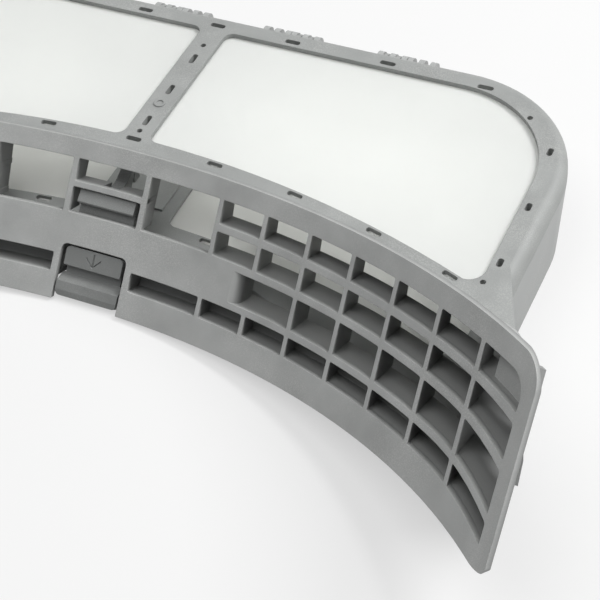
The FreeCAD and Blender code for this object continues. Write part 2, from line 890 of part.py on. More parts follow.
def tray_shell():
    """The walls and the floor of the tray, with the windows and the rebates for the mesh."""
    deep = size("tray_front")
    floor_top = size("floor_top")
    sheet_low = floor_top - size("floor_sheet")
    under_inset = wall + (wall_top - sheet_low) * draft_slope
    outside = tray_block("tray_outside", none, wall_top, none, deep)
    room = tray_block("tray_room", wall - over * draft_slope, wall_top + over, floor_top, deep + over)
    under = tray_block("tray_under", under_inset, sheet_low, -over, deep + over)
    tools = [room, under]
    for hand, word in HANDS:
        tools.append(window_block("floor_window_" + word, hand, FLOOR_WINDOW, none, sheet_low - over,
                                  size("floor_sheet") + over * 2))
        tools.append(window_block("floor_seat_" + word, hand, FLOOR_WINDOW, size("mesh_lap"), sheet_low - over,
                                  over + size("floor_sheet") - size("mesh_sheet") * 2))
    land_half = size("floor_land_half")
    land = box("floor_land", (-land_half, front_y - wall, floor_top - wall / 4),
               (land_half, size("floor_window_far"), floor_top + size("floor_land_rise")))
    return cut("tray_shell", fuse("tray_with_land", cut("tray_cut", outside, *tools), land),
               *floor_slots(sheet_low - over, size("floor_sheet") + over * 3))


def throat():
    """Roof, cheeks and sole behind the grille: the roof joins the leaf, the sole joins the floor."""
    deep = size("tray_front")
    reach = roof_run * 2
    roof_ring = drum(turned("roof_ring", [
        (roof_near, roof_crown - roof_wall), (roof_near, roof_crown),
        (roof_near + roof_run, roof_crown - roof_fall), (roof_near + roof_run, roof_crown - roof_fall - roof_wall),
    ]))
    under_roof = drum(turned("under_roof", [
        (roof_near, foot), (roof_near, roof_crown), (roof_near + reach, roof_crown - roof_fall * 2),
        (roof_near + reach, foot - reach), (roof_near, foot - reach),
    ]))
    tall = top * 2
    front_zone = front_round("front_zone", gap, wall_top, tall)
    outer = place(raised("throat_outer", pocket_outline("throat_outer_line", none, deep), tall), None, None,
                  wall_top - gap)
    inner = place(raised("throat_inner", pocket_outline("throat_inner_line", wall, deep + over), tall + over * 2),
                  None, None, wall_top - gap - over)
    roof = common("roof", common("roof_front", roof_ring, front_zone), outer)
    clear = size("catch_half") + gap * 2
    catch_path = box("catch_path", (-clear, front_y - wall * 2, leaf_low - wall * 2),
                     (clear, front_y + wall, top + wall * 4))
    cheek_walls = common("cheek_walls", cut("cheek_tube", outer, inner), front_zone)
    sole_ring = drum(turned("sole_ring", [
        (face_at(foot) + face_wall, foot), (face_at(foot) + reach, foot),
        (face_at(foot) + reach, foot + wall), (face_at(foot) + face_wall, foot + wall),
    ]))
    sole_room = place(raised("sole_room", pocket_outline("sole_room_line", wall * 2, deep), top), None, None, wall)
    return cut("roof_trimmed", roof, catch_path), common("cheeks", cheek_walls, under_roof), \
        common("sole", sole_ring, sole_room)


def lugs(hinge_y, hinge_z):
    """The lugs and knobs along the far wall, and the pins that run through the barrels of the leaf."""
    radius = size("knob_radius")
    width = size("knob_wall")
    pitch = size("lug_pitch")
    made = []
    for first, hand, alias in hinge_groups():
        last = first + pitch * 2
        spots = [first, first + pitch, last]
        outwards = alias == "hinge_outer"
        for index in (1, 2, 3):
            step = size("knob_step_%d" % index)
            spots.append(last + step if outwards else first - step)
        for spot in spots:
            start = along_hand(hand, spot, width)
            made.append(rod("knob", radius, start, width, hinge_y, hinge_z))
            made.append(box("knob_root", (start, far_edge - wall * 1.1, hinge_z - radius),
                            (start + width, hinge_y, hinge_z)))
        made.append(rod("pin", size("pin_radius"), along_hand(hand, first + pitch, pitch * 2), pitch * 2,
                        hinge_y, hinge_z))
    return made


def make_lower_frame(hinge_y, hinge_z):
    roof, cheeks, sole = throat()
    grille_space = drum(ring("grille_space", foot - face_radius / 3, crown + depth, -face_radius / 4, depth + gap))
    below_sole = drum(turned("below_sole", [
        (face_at(foot) - face_radius / 4, far_level * 2), (face_at(foot) + face_radius / 2, far_level * 2),
        (face_at(foot) + face_radius / 2, foot), (face_at(foot) - face_radius / 4, foot),
    ]))
    shell = cut("lower_shell", fuse("lower_shell_body", tray_shell(), cheeks, sole), grille_space, below_sole)
    frame = fuse("lower_frame", shell, roof, *lugs(hinge_y, hinge_z))
    return place(frame, None, -rim_y)


# latch slider: block, hook, spine, arrow plate and thumb tab in one moulding, in the lean of the face
def arrow_groove(plate_front, plate_top, plate_foot):
    """A plain downward arrow, engraved in the plate."""
    line = size("arrow_line")
    arm = size("arrow_half")
    tip = plate_foot + line * 3
    thick = line * 3
    start = plate_top - line * 3
    sketch = outline("arrow_line", [
        (-line, start), (-line, tip + thick), (-arm, tip + arm + thick - line), (-arm, tip + arm), (none, tip),
        (arm, tip + arm), (arm, tip + arm + thick - line), (line, tip + thick), (line, start),
    ], plane="XZ")
    return swept("arrow_groove", sketch, plate_front + size("arrow_depth"), (0, 1, 0))


def make_latch_slider():
    wide = size("slider_half")
    play = size("slider_play")
    spine_front = size("spine_front")
    spine_back = size("spine_back")
    plate_front = size("plate_front")
    plate_back = size("plate_back")
    plate_top = -size("plate_top")
    plate_foot = -size("plate_foot")
    tab_half = size("tab_half")
    tab_top = -size("tab_top")
    tab_foot = -size("tab_foot")
    block_top = -size("block_top")
    block_break = -size("block_break")
    block_foot = -size("block_foot")
    spine = box("slider_spine", (-(wide - play), spine_front, tab_foot + wall),
                (wide - play, spine_back, block_top - play))
    block = profile("slider_block", [
        (plate_front * 3, block_top), (plate_front * 2, block_break),
        (plate_front / 2, block_foot + play * 1.5), (plate_front * 2, block_foot),
        (spine_front, block_foot + play * 1.5), (spine_front, block_foot - play * 2),
        (spine_back, block_foot - play * 2), (spine_back, block_top),
    ], wide - play / 2)
    reach = size("hook_depth")
    nose = size("hook_nose")
    hook_top = -size("hook_top")
    arm_back = reach - nose * 2.4
    arm_front = spine_front + play * 1.5
    hook = profile("slider_hook", [
        (arm_front, block_break), (arm_front, block_top), (arm_back, hook_top - nose * 2.6),
        (reach - nose, hook_top), (reach, hook_top - nose),
        (reach, hook_top - nose * 3.6), (arm_back, block_break),
    ], size("hook_half"))
    plate_mask = field_prism("slider_plate_mask", wide, plate_foot, plate_top, play, size("notch_round") * 0.8)
    plate = common("slider_plate", box("slider_plate_block", (-wide, plate_front, plate_foot),
                                       (wide, plate_back, plate_top)), plate_mask)
    tab_bar = profile("slider_tab_bar", [
        (plate_front, tab_foot), (-plate_front, tab_foot + wall),
        (-plate_front / 2, tab_top), (plate_front, tab_top + play),
        (spine_front, tab_top + wall * 1.4), (spine_back, tab_top + wall * 1.4), (spine_back, tab_foot + wall),
        (plate_back, tab_foot),
    ], tab_half)
    tab_mask = field_prism("slider_tab_mask", tab_half, tab_foot, tab_top + wall * 2, size("tab_round"), wall)
    tab = common("slider_tab", tab_bar, tab_mask)
    slider = cut("latch_slider", fuse("slider_body", spine, block, hook, plate, tab),
                 arrow_groove(plate_front, plate_top, plate_foot))
    lean = Size(math.degrees(math.atan(DIMS["face_lean"])), "(atan(Dims.face_lean) / 1 deg)")
    return place(slider, None, -size("face_front") - rim_y, top, -(tilt + lean))


hinge_line_y = size("hinge_y")
hinge_line_z = top - size("hinge_drop")
upper_frame = place(make_upper_frame(hinge_line_y, hinge_line_z), None, -rim_y)
subparts = [
    ("grille", make_grille()),
    ("lower_frame", make_lower_frame(hinge_line_y, hinge_line_z)),
    ("upper_frame", upper_frame),
    ("latch_slider", make_latch_slider()),
]
upper_mesh_low = top - size("mesh_depth") - size("mesh_sheet")
floor_mesh_low = size("floor_top") - size("mesh_sheet") * 3
for hand, word in HANDS:
    subparts.append(("upper_mesh_" + word, make_mesh("upper_mesh_" + word, hand, UPPER_WINDOW, upper_mesh_low)))
    subparts.append(("lower_mesh_" + word, make_mesh("lower_mesh_" + word, hand, FLOOR_WINDOW, floor_mesh_low)))
doc.recompute()

for obj in doc.Objects:
    if "Invalid" in obj.State or "Error" in obj.State:
        raise RuntimeError("%s did not recompute: %s" % (obj.Name, obj.State))
for label, obj in subparts:
    obj.Label = label
    shape = obj.Shape
    if shape.isNull() or not shape.isValid() or shape.Volume <= 0:
        raise RuntimeError("%s has no valid shape" % label)
    if len(shape.Solids) != 1:
        raise RuntimeError("%s has %d solids" % (label, len(shape.Solids)))
    shape.exportStep("parts/%s.step" % label)
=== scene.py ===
# %% [markdown]
# # A tumble dryer lint filter
# The object is a wide filter of grey plastic: a curved louvred grille at the front, and behind it a flat
# pocket of fine white mesh whose upper frame hinges open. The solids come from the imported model, in
# metres, with Z = 0 on the plane it rests on. This lesson adds the finer walls of the grille, the
# cloth, the finishes, the light and the camera. Everything could be modelled again from the photograph,
# but then nothing would be sure to fit the parts that move.

# %% Load the frame
import json
import math
import bpy
import bmesh
from mathutils import Matrix, Vector


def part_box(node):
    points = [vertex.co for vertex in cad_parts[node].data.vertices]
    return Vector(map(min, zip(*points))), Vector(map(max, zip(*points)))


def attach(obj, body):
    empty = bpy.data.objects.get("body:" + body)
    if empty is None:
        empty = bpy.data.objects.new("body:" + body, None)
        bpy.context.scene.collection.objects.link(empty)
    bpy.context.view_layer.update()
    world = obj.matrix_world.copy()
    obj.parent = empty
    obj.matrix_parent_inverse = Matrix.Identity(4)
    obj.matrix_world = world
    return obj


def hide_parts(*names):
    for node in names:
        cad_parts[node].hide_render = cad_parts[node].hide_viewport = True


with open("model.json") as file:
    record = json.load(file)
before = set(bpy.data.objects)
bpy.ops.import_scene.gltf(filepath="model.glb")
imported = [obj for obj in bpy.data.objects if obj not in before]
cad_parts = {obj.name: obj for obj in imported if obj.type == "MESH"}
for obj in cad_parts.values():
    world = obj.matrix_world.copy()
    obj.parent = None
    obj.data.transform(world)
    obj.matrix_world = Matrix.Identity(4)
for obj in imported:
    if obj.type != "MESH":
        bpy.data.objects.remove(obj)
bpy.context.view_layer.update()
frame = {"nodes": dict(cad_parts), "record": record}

nodes = frame["nodes"]
print("solids:", sorted(nodes))


# %% [markdown]
# ## The camera
# The photograph is taken from above and to the right, with a long lens and a camera rolled by about
# seven degrees. Matching it by eye takes many tries, so the eye point and the three directions of the
# view come from a fit to points whose place on the filter is known. The directions fill the columns of
# a matrix, which is how Blender itself stores the way an object is turned.

# %% Camera
EYE = Vector((0.31786, -0.51673, 0.50562))
VIEW_RIGHT = Vector((0.906029, 0.414734, -0.084303))
VIEW_UP = Vector((-0.251889, 0.688517, 0.680071))
VIEW_BACK = Vector((0.340093, -0.594929, 0.728284))
SENSOR = 36.0
FOCAL_PIXELS = 1709.7
FRAME_PIXELS = 600

camera_data = bpy.data.cameras.new("photo_camera")
camera_data.sensor_width = SENSOR
camera_data.lens = SENSOR * FOCAL_PIXELS / FRAME_PIXELS
camera_data.clip_start = 0.01
camera = bpy.data.objects.new("photo_camera", camera_data)
turn = Matrix((VIEW_RIGHT, VIEW_UP, VIEW_BACK)).transposed().to_4x4()
camera.matrix_world = Matrix.Translation(EYE) @ turn
bpy.context.scene.collection.objects.link(camera)
bpy.context.scene.camera = camera
print("lens: %.1f mm" % camera_data.lens)


# %% [markdown]
# ## Helpers for node materials
# Every finish here is a small network of nodes. It could be built by hand in the editor, but a script
# can be read and repeated. Short helpers keep it readable: they start a material, add a node with its
# settings, join two sockets, and make noise, ranges, mixed colours and relief. Positions in the patterns
# are Object coordinates, which are metres on these pieces, so a texture scale of 1000 gives features
# about a millimetre wide.

# %% Helpers for materials
def start_material(name):
    material = bpy.data.materials.new(name)
    material.use_nodes = True
    material.node_tree.nodes.clear()
    return material, material.node_tree


def add_node(tree, kind, **settings):
    node = tree.nodes.new(kind)
    for key, value in settings.items():
        setattr(node, key, value)
    return node


def join(tree, source, target):
    tree.links.new(source, target)


def object_noise(tree, place, scale, detail, roughness):
    """Noise on the object's own coordinates; its Fac runs about from 0.3 to 0.7."""
    noise = add_node(tree, "ShaderNodeTexNoise")
    noise.inputs["Scale"].default_value = scale
    noise.inputs["Detail"].default_value = detail
    noise.inputs["Roughness"].default_value = roughness
    join(tree, place, noise.inputs["Vector"])
    return noise


def fit_range(tree, source, low, high, new_low, new_high):
    """Stretches a value from one range to another, without going past the ends."""
    fit = add_node(tree, "ShaderNodeMapRange")
    fit.inputs["From Min"].default_value = low
    fit.inputs["From Max"].default_value = high
    fit.inputs["To Min"].default_value = new_low
    fit.inputs["To Max"].default_value = new_high
    join(tree, source, fit.inputs["Value"])
    return fit.outputs["Result"]


def blend_colours(tree, amount, first, second):
    """Mixes two colours, or a socket and a colour, by a socket's value."""
    mix = add_node(tree, "ShaderNodeMix", data_type="RGBA")
    join(tree, amount, mix.inputs[0])
    for socket, colour in ((mix.inputs[6], first), (mix.inputs[7], second)):
        if isinstance(colour, tuple):
            socket.default_value = (*colour, 1.0)
        else:
            join(tree, colour, socket)
    return mix.outputs[2]


def scaled(tone, gain):
    return tuple(min(1.0, channel * gain) for channel in tone)


def relief(tree, source, strength, depth, normal=None):
    """The normal of a surface with a pattern's height laid over it."""
    bump = add_node(tree, "ShaderNodeBump")
    bump.inputs["Strength"].default_value = strength
    bump.inputs["Distance"].default_value = depth
    join(tree, source, bump.inputs["Height"])
    if normal is not None:
        join(tree, normal, bump.inputs["Normal"])
    return bump.outputs["Normal"]


print("a tone of 0.5, a tenth lighter:", scaled((0.5,), 1.1))


# %% [markdown]
# ## Moulded grey plastic
# The grille and the frames are moulded in a matt grey plastic. Up close it isn't one grey: the tone
# drifts over a few centimetres, pale specks of dust sit in patches, and edges are a shade lighter,
# partly from handling wear and partly as a painted highlight. One flat colour would look like a
# computer model, and an image texture would need unwrapping, so the colour is built from noise at
# three sizes. A Bevel node finds the edges without touching the solids. Inside the louvres the tone
# is darker: that is painted shade. A piece that has such walls says so in an attribute, and on the
# others it is nought.

# %% Colour of the plastic
# A scale is about the number of features in a metre.
CLOUD_SCALE = 42.0
PATCH_SCALE = 26.0
SPECK_SCALE = 2300.0
DUST_TONE = (0.62, 0.62, 0.6)
THINNEST_DUST = 0.12
# Paler edges: partly handling wear, partly a painted highlight.
WEAR_HIGHLIGHT_SHARE = 0.22
WEAR_HIGHLIGHT_GAIN = 1.5
# Painted shade inside the louvres: the tone there is this share of its own.
PAINTED_SHADE_GAIN = 0.62


def plastic_colour(tree, spot, cloud, rounded_normal, tone, drift, speck):
    """Drifting tone, patches of dust, paler edges (wear and painted highlight), recesses in painted shade.
    """
    tone_mask = fit_range(tree, cloud.outputs["Fac"], 0.34, 0.66, 0.0, 1.0)
    body_colour = blend_colours(tree, tone_mask, scaled(tone, 1.0 - drift), scaled(tone, 1.0 + drift))

    speckle = object_noise(tree, spot, SPECK_SCALE, detail=3.0, roughness=0.7)
    patch = object_noise(tree, spot, PATCH_SCALE, detail=3.0, roughness=0.6)
    speck_mask = fit_range(tree, speckle.outputs["Fac"], 0.48, 0.62, 0.0, 1.0)
    patch_mask = fit_range(tree, patch.outputs["Fac"], 0.42, 0.62, THINNEST_DUST * speck, speck)
    both_masks = add_node(tree, "ShaderNodeMath", operation="MULTIPLY")
    join(tree, speck_mask, both_masks.inputs[0])
    join(tree, patch_mask, both_masks.inputs[1])
    dusty = blend_colours(tree, both_masks.outputs[0], body_colour, DUST_TONE)

    # Edges are lightened: partly wear, partly a painted highlight.
    flat_normal = add_node(tree, "ShaderNodeNewGeometry")
    facing = add_node(tree, "ShaderNodeVectorMath", operation="DOT_PRODUCT")
    join(tree, rounded_normal, facing.inputs[0])
    join(tree, flat_normal.outputs["Normal"], facing.inputs[1])
    wear_highlight_mask = fit_range(tree, facing.outputs["Value"], 0.99, 0.8, 0.0, WEAR_HIGHLIGHT_SHARE)
    wear_and_highlight = blend_colours(tree, wear_highlight_mask, dusty, scaled(tone, WEAR_HIGHLIGHT_GAIN))

    # Painted shade: walls inside the louvres carry an attribute that darkens their tone.
    painted_shade = add_node(tree, "ShaderNodeAttribute", attribute_name="painted_shade")
    return blend_colours(tree, painted_shade.outputs["Fac"], wear_and_highlight, scaled(tone, PAINTED_SHADE_GAIN))


print("tone drifts over about %.0f mm" % (1000.0 / CLOUD_SCALE))


# %% [markdown]
# ## Grain and sheen
# The mould leaves a fine grain and a faint ripple in the plastic, which break up the highlights, and
# the sheen drifts with the tone. Both reliefs are far too low to be worth modelling, so two Bump nodes
# in a row give them, over edges that a Bevel node rounds for the light. The four mouldings share one
# recipe, each with its own tone and its own place in the noise. A material made by hand for each of
# them would be four times the work and no better.

# %% Plastic finish
GRAIN_SCALE = 3600.0
GRAIN_DEPTH = 0.00006
RIPPLE_SCALE = 160.0
RIPPLE_DEPTH = 0.0004
EDGE_ROUNDING = 0.0004


def moulded_plastic(name, tone, drift, speck, sheen, shift):
    material, tree = start_material(name)
    place = add_node(tree, "ShaderNodeTexCoord")
    mapping = add_node(tree, "ShaderNodeMapping")
    mapping.inputs["Location"].default_value = shift
    join(tree, place.outputs["Object"], mapping.inputs["Vector"])
    spot = mapping.outputs["Vector"]

    cloud = object_noise(tree, spot, CLOUD_SCALE, detail=4.0, roughness=0.55)
    rounding = add_node(tree, "ShaderNodeBevel", samples=6)
    rounding.inputs["Radius"].default_value = EDGE_ROUNDING
    rounded_normal = rounding.outputs["Normal"]
    grain = object_noise(tree, spot, GRAIN_SCALE, detail=2.0, roughness=0.5)
    ripple = object_noise(tree, spot, RIPPLE_SCALE, detail=2.0, roughness=0.5)
    grainy = relief(tree, grain.outputs["Fac"], strength=0.16, depth=GRAIN_DEPTH, normal=rounded_normal)
    rippled = relief(tree, ripple.outputs["Fac"], strength=0.12, depth=RIPPLE_DEPTH, normal=grainy)

    shader = add_node(tree, "ShaderNodeBsdfPrincipled")
    shader.inputs["Specular IOR Level"].default_value = 0.42
    colour = plastic_colour(tree, spot, cloud, rounded_normal, tone, drift, speck)
    join(tree, colour, shader.inputs["Base Color"])
    roughness = fit_range(tree, cloud.outputs["Fac"], 0.35, 0.65, *sheen)
    join(tree, roughness, shader.inputs["Roughness"])
    join(tree, rippled, shader.inputs["Normal"])
    output = add_node(tree, "ShaderNodeOutputMaterial")
    join(tree, shader.outputs["BSDF"], output.inputs["Surface"])
    return material


GRILLE_TONE = (0.352, 0.358, 0.352)
TRAY_TONE = (0.345, 0.353, 0.348)
LID_TONE = (0.272, 0.28, 0.274)
LATCH_TONE = (0.196, 0.202, 0.198)

finishes = {
    "grille": moulded_plastic(
        "grille_plastic", GRILLE_TONE, drift=0.1, speck=0.4, sheen=(0.44, 0.58), shift=(0.0, 0.0, 0.0)),
    "lower_frame": moulded_plastic(
        "tray_plastic", TRAY_TONE, drift=0.06, speck=0.24, sheen=(0.46, 0.6), shift=(0.31, 0.12, 0.0)),
    "upper_frame": moulded_plastic(
        "lid_plastic", LID_TONE, drift=0.08, speck=0.3, sheen=(0.46, 0.6), shift=(0.57, 0.23, 0.1)),
    "latch_slider": moulded_plastic(
        "latch_plastic", LATCH_TONE, drift=0.07, speck=0.2, sheen=(0.4, 0.54), shift=(0.83, 0.4, 0.2)),
}
for node_name, finish in finishes.items():
    solid = nodes[node_name]
    solid.data.materials.clear()
    solid.data.materials.append(finish)
    print("finish of", node_name, "is", finish.name)


# %% [markdown]
# ## The louvred grille
# The front of the filter is one curved moulding: four rows of louvres between upright ribs, a plain
# band and a foot with a notch for the latch, and a strip at each end. The solid has all of it, with
# thicker walls and straight rows. It is made again here with the finer walls of the photograph, and
# its rows sink a little near the ends. Each wall is drawn flat first, in three plain directions: x, the
# depth behind the face and the level along the drum's axis. Then it is cut into short strips and bent
# round the axis. Carving a bent block with booleans would give the same walls but rough shading.

# %% Sizes of the grille
# Metres. A level is nought where the top of the leaf meets the face, and less than nought below it.
TILT = math.radians(27.2)
FACE_RADIUS = 0.2713
FACE_LEAN = 0.2947
FACE_FRONT = -0.098024
LID_TOP = 0.0445
AXIS_Y = FACE_FRONT - FACE_RADIUS * math.cos(TILT)
AXIS_Z = LID_TOP + FACE_RADIUS * math.sin(TILT)
FACE_HALF = 0.2097
STRIP = 0.2043
END_SPREAD = 0.0014
END_CORNER = 0.0085
CROWN = 0.007
FOOT = -0.057
FACE_WALL = 0.0024
ROW_TOPS = (-0.0006, -0.0126, -0.0246, -0.0388)
ROW_FEET = (-0.0099, -0.022, -0.0364, -0.0464)
RIB_START = 0.0511
RIB_WALL = 0.0019
RIB_COLUMNS = 7
RIB_PITCH = 0.02183
FIRST_OPEN_COLUMN = 2
BAND_HALF = 0.0695
BAND_ROUND = 0.0046
GUIDE_INNER = 0.0158
GUIDE_OUTER = 0.0181
NOTCH_HALF = 0.0152
NOTCH_TOP = -0.0343
NOTCH_ROUND = 0.0024
CELL_ROUND = 0.0006
OUTER_CORNER_ROUND = 0.006
SHELF_TOP = -0.0096
SHELF_FOOT = -0.0118
BACK_START = 0.0111
BACK_SLOPE = 0.1667
BACK_DEEPEST = 0.0168


def back_depth(level):
    """Depth of the louvres: the lower rows are deeper, because the face leans more than their backs."""
    return min(BACK_START - BACK_SLOPE * level, BACK_DEEPEST)


print("depth of the louvres: %.1f to %.1f mm" % (back_depth(0.0) * 1000, back_depth(FOOT) * 1000))


# %% [markdown]
# ## Flat walls, bent round the drum
# The place of a point on the filter follows from its radius about the drum's axis, which is the radius
# of the face at its level plus its depth. Moving only the vertices keeps every wall closed and lets one
# rule bend them all. Subdividing with a modifier instead would round the corners as well. The rows sink
# most at about two thirds of the way down the face, and not at all along its top and its foot.

# %% Bending
END_SINK = 0.0048
SINK_START = 0.172
SINK_BIAS = 1.6
BEND_PITCH = 0.006
# Depth behind the face at which the painted shade inside the louvres is full.
PAINTED_SHADE_DEPTH = 0.0012
SAME_SPOT = 0.0000001


def bent(x, deep, level):
    """Where a point of the flat drawing lies on the filter."""
    share = min(1.0, max(0.0, level / FOOT)) ** SINK_BIAS
    near_end = max(0.0, abs(x) - SINK_START) / (STRIP - SINK_START)
    along = level - END_SINK * math.sin(math.pi * share) * near_end ** 2
    radius = FACE_RADIUS + FACE_LEAN * along + deep
    out = math.sqrt(radius * radius - x * x)
    y = AXIS_Y + out * math.cos(TILT) + along * math.sin(TILT)
    z = AXIS_Z - out * math.sin(TILT) + along * math.cos(TILT)
    return Vector((x, y, z))


def everything(bm):
    return bm.verts[:] + bm.edges[:] + bm.faces[:]


def add_bent(piece, flat, painted_shade_share=1.0):
    """Cuts a flat solid into strips across x, bends it and adds it to the piece."""
    # Each vertex gets a painted shade value: nought on the face, growing to full deeper in.
    painted_shade = flat.verts.layers.float.new("painted_shade")
    low = min(vert.co.x for vert in flat.verts)
    high = max(vert.co.x for vert in flat.verts)
    steps = max(1, int((high - low) / BEND_PITCH))
    for step in range(1, steps):
        spot = Vector((low + (high - low) * step / steps, 0.0, 0.0))
        bmesh.ops.bisect_plane(
            flat, geom=everything(flat), plane_co=spot, plane_no=(1.0, 0.0, 0.0), dist=SAME_SPOT
        )
    for vert in flat.verts:
        vert[painted_shade] = painted_shade_share * min(1.0, vert.co.y / PAINTED_SHADE_DEPTH)
        vert.co = bent(*vert.co)
    bmesh.ops.recalc_face_normals(flat, faces=flat.faces)
    wall = bpy.data.meshes.new("wall")
    flat.to_mesh(wall)
    flat.free()
    piece.from_mesh(wall)
    bpy.data.meshes.remove(wall)


print("foot of the face, in the middle:", [round(place, 4) for place in bent(0.0, 0.0, FOOT)])


# %% [markdown]
# ## One wall
# A louvre or a rib is a thin plate that stands behind the face and gets a little thinner towards its
# back, as a moulded wall must to leave its mould. It starts as a cube whose corners are pulled to their
# places. An extruded outline would need its thinner end scaled afterwards. The pocket's roof slopes
# down over the upper walls, so what would poke through it is cut off and the cut is closed.

# %% Walls
WALL_START = 0.001
DRAFT = 0.00025
FRONT_DRAFT_SHARE = 0.2
ROOF_LEVEL = 0.00477
ROOF_SLOPE = Vector((0.0, 0.65, 1.19))


def add_wall(piece, across, levels, near=WALL_START, far=None, upright=False, hands=(1, -1), painted_shade_share=1.0):
    """One wall on both hands: a flat box that gets a little thinner towards its back."""
    for hand in hands:
        flat = bmesh.new()
        bmesh.ops.create_cube(flat, size=2.0)
        for vert in flat.verts:
            side, depth, tall = vert.co
            thinner = DRAFT * (1.0 if depth > 0 else FRONT_DRAFT_SHARE)
            x = across[1] if side > 0 else across[0]
            level = levels[1] if tall > 0 else levels[0]
            deep = near if depth < 0 else (back_depth(level) if far is None else far)
            if upright:
                x -= thinner * side
            else:
                level -= thinner * tall
            vert.co = (x * hand, deep, level)
        cut = bmesh.ops.bisect_plane(flat, geom=everything(flat), plane_co=(0.0, 0.0, ROOF_LEVEL),
                                     plane_no=ROOF_SLOPE, clear_outer=True)
        rim = [item for item in cut["geom_cut"] if isinstance(item, bmesh.types.BMEdge)]
        if rim:
            bmesh.ops.contextual_create(flat, geom=rim)
        add_bent(piece, flat, painted_shade_share)


print("a wall loses %.2f mm of its thickness on the way back" % (DRAFT * (1 - FRONT_DRAFT_SHARE) * 2000))


# %% [markdown]
# ## Rounded outlines
# The face and its openings are flat outlines with small round corners. Each corner is given by its
# place and its radius, and the points of its arc follow from the directions of the two sides. A square
# outline with a Bevel modifier would round every corner by the same radius.

# %% Outlines
ARC_STEPS_TO_A_METRE = 1500


def rounded_outline(corners):
    """The points of an outline with square corners: each one is x, level and the radius that rounds it."""
    points = []
    for index, (x, level, radius) in enumerate(corners):
        spot = Vector((x, level))
        following = corners[(index + 1) % len(corners)]
        before = (Vector(corners[index - 1][:2]) - spot).normalized()
        after = (Vector(following[:2]) - spot).normalized()
        centre = spot + (before + after) * radius
        steps = 0 if radius == 0.0 else max(2, int(radius * ARC_STEPS_TO_A_METRE))
        for step in range(steps + 1):
            angle = math.pi / 2 * step / max(1, steps)
            offset = after * math.cos(angle) + before * math.sin(angle)
            points.append(centre - offset * radius)
    return points


def cell(x_low, x_high, low, high, top_round=CELL_ROUND):
    return rounded_outline([(x_low, low, CELL_ROUND), (x_high, low, CELL_ROUND),
                            (x_high, high, top_round), (x_low, high, CELL_ROUND)])


print("points of a small opening:", len(cell(0.0, RIB_PITCH, ROW_FEET[0], ROW_TOPS[0])))


# %% [markdown]
# ## The face of the grille
# The face is a plate with an opening for each cell. Its outline and the openings are drawn as loops of
# edges, filled in one go and given their thickness, because the fill leaves the openings out by itself.
# Adding the plate as separate bars would leave seams in the band and the foot.

# %% Face plate
def rib_left(column):
    return RIB_START + RIB_PITCH * column


def cells_of_right_hand():
    """The openings right of the middle: the wide one beside the latch, then the cells of each row."""
    openings = [cell(GUIDE_OUTER, RIB_START, ROW_FEET[1], ROW_TOPS[0])]
    for row, (top_level, foot_level) in enumerate(zip(ROW_TOPS, ROW_FEET)):
        first = FIRST_OPEN_COLUMN if row == 2 else 0
        if row == 2:
            openings.append(cell(BAND_HALF - BAND_ROUND, rib_left(first), foot_level, top_level))
        if row == 3:
            openings.append(cell(GUIDE_OUTER, RIB_START, foot_level, top_level))
        for column in range(first, RIB_COLUMNS):
            last = column == RIB_COLUMNS - 1
            x_high = STRIP if last else rib_left(column + 1)
            corner = OUTER_CORNER_ROUND if last and row == 0 else CELL_ROUND
            openings.append(cell(rib_left(column) + RIB_WALL, x_high, foot_level, top_level, corner))
    return openings


def add_face_plate(piece):
    outline = rounded_outline([
        (-FACE_HALF, FOOT, END_CORNER), (-NOTCH_HALF, FOOT, 0.0), (-NOTCH_HALF, NOTCH_TOP, NOTCH_ROUND),
        (NOTCH_HALF, NOTCH_TOP, NOTCH_ROUND), (NOTCH_HALF, FOOT, 0.0), (FACE_HALF, FOOT, END_CORNER),
        (FACE_HALF, CROWN, END_CORNER), (-FACE_HALF, CROWN, END_CORNER)])
    right = cells_of_right_hand()
    left = [[Vector((-point.x, point.y)) for point in reversed(loop)] for loop in right]
    lane = [
        cell(-GUIDE_INNER, GUIDE_INNER, ROW_FEET[1], SHELF_FOOT),
        cell(-GUIDE_INNER, GUIDE_INNER, SHELF_TOP, ROW_TOPS[0]),
    ]
    flat = bmesh.new()
    edges = []
    for loop in [outline] + right + left + lane:
        verts = [flat.verts.new((point.x, 0.0, point.y)) for point in loop]
        edges += [flat.edges.new((verts[i - 1], verts[i])) for i in range(len(verts))]
    bmesh.ops.triangle_fill(flat, use_beauty=True, use_dissolve=False, edges=edges)
    grown = bmesh.ops.extrude_face_region(flat, geom=flat.faces[:], use_keep_orig=True)
    for item in grown["geom"]:
        if isinstance(item, bmesh.types.BMVert):
            to_end = max(0.0, abs(item.co.x) - STRIP) / (FACE_HALF - STRIP)
            to_corner = min(END_CORNER, item.co.z - FOOT, CROWN - item.co.z) / END_CORNER
            item.co.y = FACE_WALL
            item.co.x += math.copysign(END_SPREAD * to_end * to_corner, item.co.x)
    add_bent(piece, flat)
    return len(right) * 2 + len(lane)


print("openings right of the middle:", len(cells_of_right_hand()))


# %% [markdown]
# ## The ends of the band
# The plain band in the third row doesn't stop at a sharp edge: at both ends it turns inwards in a soft
# bend. The bend could be a bevelled edge of the plate, but the plate is flat until it is bent round the
# drum. So the section of the bend is drawn as one face and extruded over the height of the row.

# %% Band ends
BEND_STEPS = 8
BAND_END_DEPTH = 0.013
BAND_OVERLAP = 0.0004


